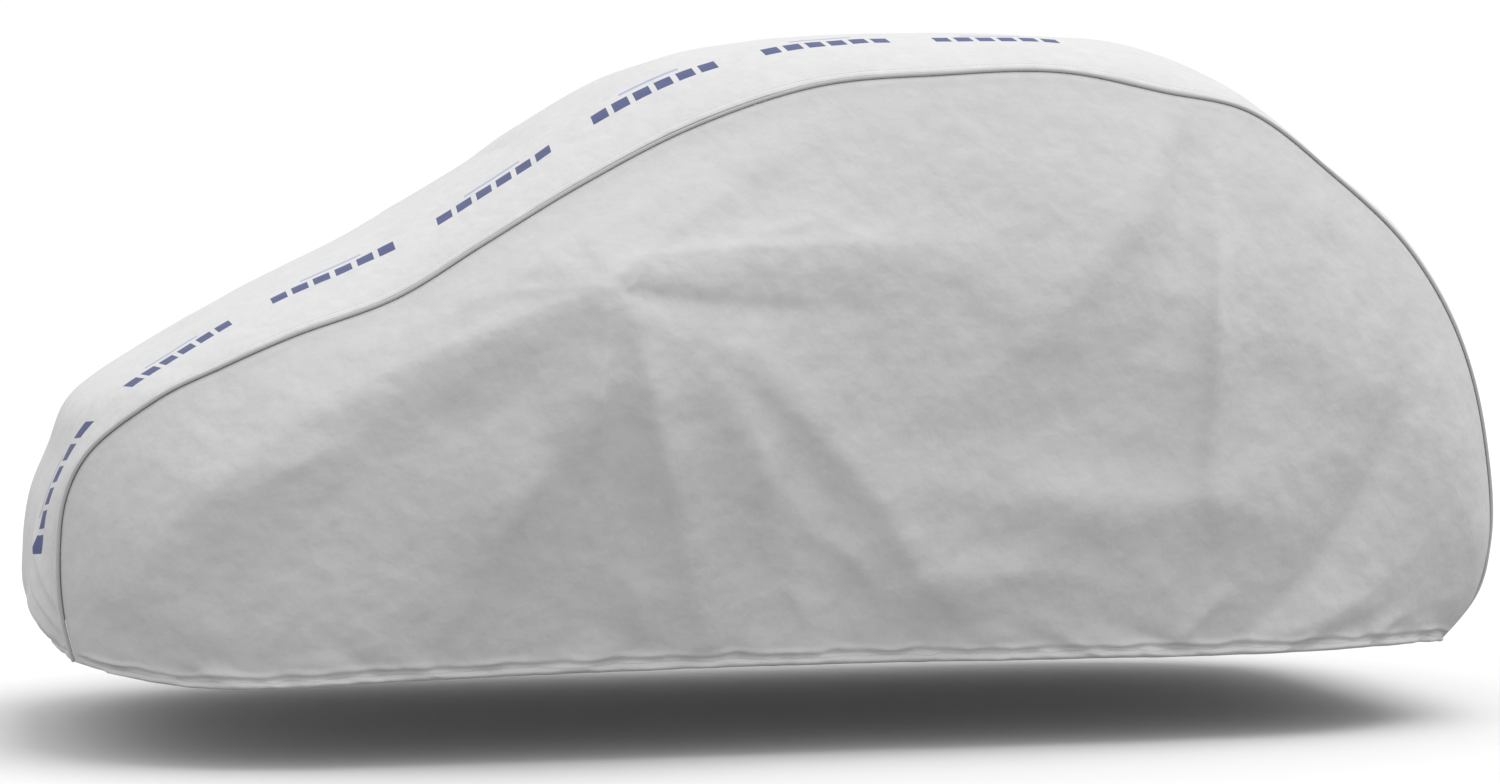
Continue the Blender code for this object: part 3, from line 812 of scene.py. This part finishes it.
# ---------------------------------------------------------------- building
def build_side(name, side, material, node, seed):
    """side is 1 for the left panel and -1 for the right one."""
    at = spread(520, (0.37, 0.08, 0.9))
    down = spread(150, (0.21, 0.13, 0.8), (1.0, 0.035, 3.0), (0.0, 0.02, 1.5))
    a, d = np.meshgrid(at, down, indexing="ij")
    outer = visual_side(a, d, seed)
    corner = PIPING_RADIUS + SEAM_GAP + 0.001
    for end in (0, -1):
        near = 1 if end == 0 else -2
        way = outer[near, -1] - outer[end, -1] if end == 0 else outer[near, -1] - outer[end, -1]
        way = way / np.linalg.norm(way)
        outer[end, :] = line_3d("hem", at[end]) + way * corner
    outer[..., 1] *= side
    outward = np.array([0.0, -1.0 * side, 0.0])
    data, used = sheet_mesh(name, outer, CLOTH, outward, True, side < 0)
    piece = add_piece(name, data, material, (node,))
    normal = grid_normals(outer, outward)
    return piece, outer, normal


def build_centre(name, material, node):
    at = spread(620, (0.0, 0.03, 2.0), (1.0, 0.03, 2.0))
    across = np.linspace(-1, 1, 127)
    # closer together at the rolled edges
    across = np.sign(across) * (1 - (1 - np.abs(across)) ** 1.35)
    a, c = np.meshgrid(at, across, indexing="ij")
    outer, run, left, right = visual_centre(a, c)
    outward = outer - np.array([0.0, 0.0, 0.62])
    data, used = sheet_mesh(name, outer, CLOTH, outward, False, True)
    edge = np.minimum(left, right)
    uv = np.stack([run, edge], axis=-1).reshape(-1, 2)
    set_uv(data, np.concatenate([uv, uv]), used)
    piece = add_piece(name, data, material, (node,))
    return piece, outer, grid_normals(outer, outward)


def build_piping(name, side, material, node):
    at = np.linspace(0, 1, 421)
    line = line_3d("seam", at)
    line[:, 1] *= side
    line = to_frame(line)
    curve = bpy.data.curves.new(name, "CURVE")
    curve.dimensions = "3D"
    curve.bevel_depth = PIPING_RADIUS + 0.0004
    curve.bevel_resolution = 3
    curve.use_fill_caps = True
    spline = curve.splines.new("POLY")
    spline.points.add(len(line) - 1)
    for point, place in zip(spline.points, line):
        point.co = (*place, 1.0)
    spline.use_smooth = True
    return add_piece(name, curve, material, (node,))


grey = nonwoven("grey nonwoven", (0.586, 0.586, 0.588), (0.521, 0.521, 0.526), 1.0)
white = nonwoven("off-white nonwoven", (0.672, 0.672, 0.672), (0.596, 0.596, 0.602), 1.0, True)
trim = piping_material("grey piping", (0.52, 0.52, 0.525), (0.43, 0.43, 0.435))
grey_thread = thread_material("grey thread", (0.50, 0.50, 0.51))
white_thread = thread_material("white thread", (0.78, 0.78, 0.80))

left_cloth, left_outer, left_normal = build_side("side_cloth_left", 1, grey, "side_panel_left", 0)
right_cloth, right_outer, right_normal = build_side("side_cloth_right", -1, grey, "side_panel_right", 500)
centre_cloth, centre_outer, centre_normal = build_centre("centre_cloth", white, "centre_panel")
build_piping("seam_piping_left", 1, trim, "piping_left")
build_piping("seam_piping_right", -1, trim, "piping_right")

build_stitches("hem_stitches_left", [stitch_line(left_outer, left_normal, 0.0215, 1, True)], grey_thread)
build_stitches("hem_stitches_right", [stitch_line(right_outer, right_normal, 0.0215, 1, True)], grey_thread)
build_stitches(
    "centre_stitches",
    [
        stitch_line(centre_outer, centre_normal, 0.0200, 1, False),
        stitch_line(centre_outer, centre_normal, 0.0200, 1, True),
        stitch_line(centre_outer, centre_normal, 0.0215, 0, False),
        stitch_line(centre_outer, centre_normal, 0.0215, 0, True),
    ],
    white_thread,
)


# ---------------------------------------------------------------- studio
def build_floor():
    """Plain pale floor; it shows white but throws little light back up."""
    data = bpy.data.meshes.new("floor")
    r = 60.0
    data.from_pydata([(-r, -r, GROUND), (r, -r, GROUND), (r, r, GROUND), (-r, r, GROUND)], [], [(0, 1, 2, 3)])
    floor = bpy.data.objects.new("floor", data)
    bpy.context.scene.collection.objects.link(floor)
    material = bpy.data.materials.new("pale floor")
    material.use_nodes = True
    n = Nodes(material.node_tree)
    shader = material.node_tree.nodes["Principled BSDF"]
    seen = material.node_tree.nodes.new("ShaderNodeLightPath").outputs["Is Camera Ray"]
    n.join(n.mix(seen, (0.39, 0.39, 0.39), (0.82, 0.82, 0.82)), shader.inputs["Base Color"])
    shader.inputs["Roughness"].default_value = 0.9
    shader.inputs["Specular IOR Level"].default_value = 0.0
    data.materials.append(material)


def build_world(shown, lit):
    """White behind the object, and a soft even light from all round."""
    world = bpy.data.worlds.new("studio")
    world.use_nodes = True
    bpy.context.scene.world = world
    tree = world.node_tree
    n = Nodes(tree)
    seen = tree.nodes.new("ShaderNodeLightPath").outputs["Is Camera Ray"]
    background = tree.nodes["Background"]
    n.join(n.mix(seen, (lit, lit, lit), (shown, shown, shown)), background.inputs["Color"])
    background.inputs["Strength"].default_value = 1.0


def add_sun(name, towards, strength, angle):
    """A broad soft lamp; strength is the light it throws on a square face."""
    lamp = bpy.data.lights.new(name, "SUN")
    lamp.energy = strength * math.pi
    lamp.angle = math.radians(angle)
    thing = bpy.data.objects.new(name, lamp)
    bpy.context.scene.collection.objects.link(thing)
    thing.rotation_euler = Vector(towards).to_track_quat("Z", "Y").to_euler()


build_floor()
build_world(1.02, 0.97)
add_sun("overhead softbox", (0.30, -0.14, 0.94), 0.40, 45.0)

camera = bpy.data.cameras.new("camera")
camera.lens = 82.0
camera.sensor_width = 36.0
camera.clip_end = 200.0
eye = bpy.data.objects.new("camera", camera)
bpy.context.scene.collection.objects.link(eye)
place = Vector((-1.8 - REST_X, -7.5, 1.0 + GROUND))
target = Vector((0.0 - REST_X, 0.0, 0.72 + GROUND))
eye.location = place
eye.rotation_euler = (target - place).to_track_quat("-Z", "Y").to_euler()
bpy.context.scene.camera = eye
bpy.context.scene.view_settings.view_transform = "Standard"
